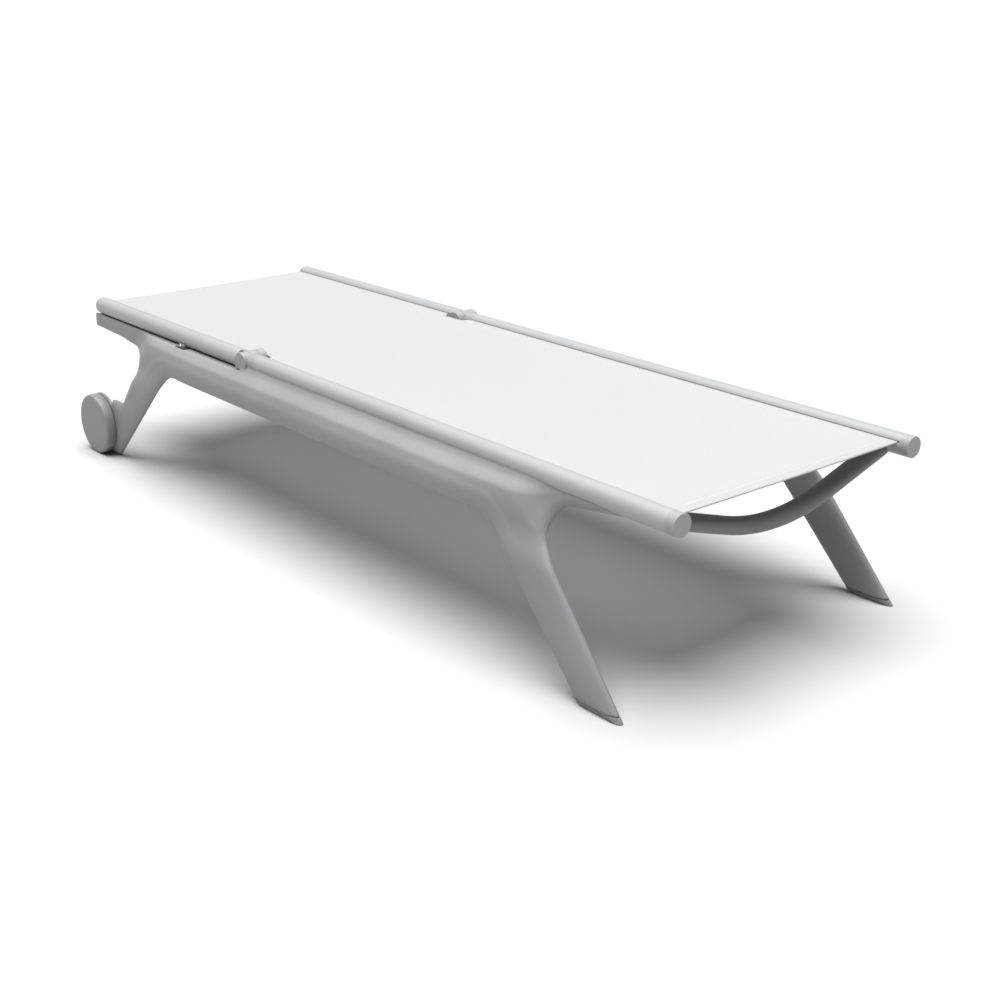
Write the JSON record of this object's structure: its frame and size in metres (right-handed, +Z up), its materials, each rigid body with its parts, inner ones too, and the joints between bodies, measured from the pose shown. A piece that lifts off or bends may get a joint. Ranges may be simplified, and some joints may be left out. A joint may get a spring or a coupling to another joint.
{
  "type": "reclining sun lounger",
  "caption": "Low reclining sun lounger with moulded side frames, tube rails, a taut mesh sling, a hinged backrest on a notched prop and transport wheels at the head end.",
  "frame": {"origin": "on the floor under the middle of the lounger's length and width", "axes": "+X from the head end to the foot end, +Y across, +Z up; backrest flat"},
  "size_m": [1.96, 0.767, 0.3645],
  "materials": {
    "moulded_plastic": "matt light grey moulded polypropylene",
    "rail_coating": "matt light grey powder coat on an aluminium tube",
    "sling_mesh": "white coated-yarn mesh",
    "keder_rod": "extruded plastic rod",
    "wheel_plastic": "matt light grey moulded plastic",
    "glide_rubber": "grey moulded rubber",
    "stay_steel": "matt light grey powder coat on steel",
    "bright_steel": "zinc plated steel"
  },
  "bodies": {
    "frame": {"side_frame_left": "moulded_plastic", "side_frame_right": "moulded_plastic", "seat_rail_left": "rail_coating", "seat_rail_right": "rail_coating", "foot_cap_left": "moulded_plastic", "foot_cap_right": "moulded_plastic", "hinge_seat_half_left": "moulded_plastic", "hinge_seat_half_right": "moulded_plastic", "hinge_pin_left": "bright_steel", "hinge_pin_right": "bright_steel", "front_glide_left": "glide_rubber", "front_glide_right": "glide_rubber", "wheel_axle_left": "bright_steel", "wheel_axle_right": "bright_steel", "axle_clip_left": "bright_steel", "axle_clip_right": "bright_steel", "recline_rack_left": "moulded_plastic", "recline_rack_right": "moulded_plastic", "rest_pad_left": "glide_rubber", "rest_pad_right": "glide_rubber", "seat_keder_left": "keder_rod", "seat_keder_right": "keder_rod", "pin_caps": "moulded_plastic", "front_crossbar": "moulded_plastic", "middle_crossbar": "moulded_plastic", "rear_crossbar": "moulded_plastic", "seat_sling": "sling_mesh", "rail_screws": "bright_steel", "seat_bar_screws": "bright_steel", "beam_bar_screws": "bright_steel", "rack_screws": "bright_steel"},
    "backrest": {"back_rail_left": "rail_coating", "back_rail_right": "rail_coating", "head_cap_left": "moulded_plastic", "head_cap_right": "moulded_plastic", "hinge_back_half_left": "moulded_plastic", "hinge_back_half_right": "moulded_plastic", "prop_lug_left": "moulded_plastic", "prop_lug_right": "moulded_plastic", "prop_bolt_left": "bright_steel", "prop_bolt_right": "bright_steel", "back_keder_left": "keder_rod", "back_keder_right": "keder_rod", "lug_rivets": "bright_steel", "head_crossbar": "moulded_plastic", "lumbar_crossbar": "moulded_plastic", "back_sling": "sling_mesh", "back_bar_screws": "bright_steel"},
    "stay": {"prop_stay": "stay_steel"},
    "wheel_left_set": {"wheel_left": "wheel_plastic", "wheel_inner_plate_left": "wheel_plastic"},
    "wheel_right_set": {"wheel_right": "wheel_plastic", "wheel_inner_plate_right": "wheel_plastic"}
  },
  "joints": [
    {"name": "recline", "type": "hinge", "parent": "frame", "child": "backrest", "pos_m": [-0.278, 0, 0.343], "axis": [0, 1, 0], "range_deg": [0, 65]},
    {"name": "stay_fold", "type": "hinge", "parent": "backrest", "child": "stay", "pos_m": [-0.54, 0, 0.326], "axis": [0, -1, 0], "range_deg": [0, 130]},
    {"name": "wheel_left_spin", "type": "hinge", "parent": "frame", "child": "wheel_left_set", "pos_m": [-0.892, 0.372, 0.0725], "axis": [0, 1, 0], "continuous": true},
    {"name": "wheel_right_spin", "type": "hinge", "parent": "frame", "child": "wheel_right_set", "pos_m": [-0.892, -0.372, 0.0725], "axis": [0, 1, 0], "continuous": true}
  ],
  "couplings": [
    {"joint": "stay_fold", "follows": "recline", "ratio": 2}
  ]
}
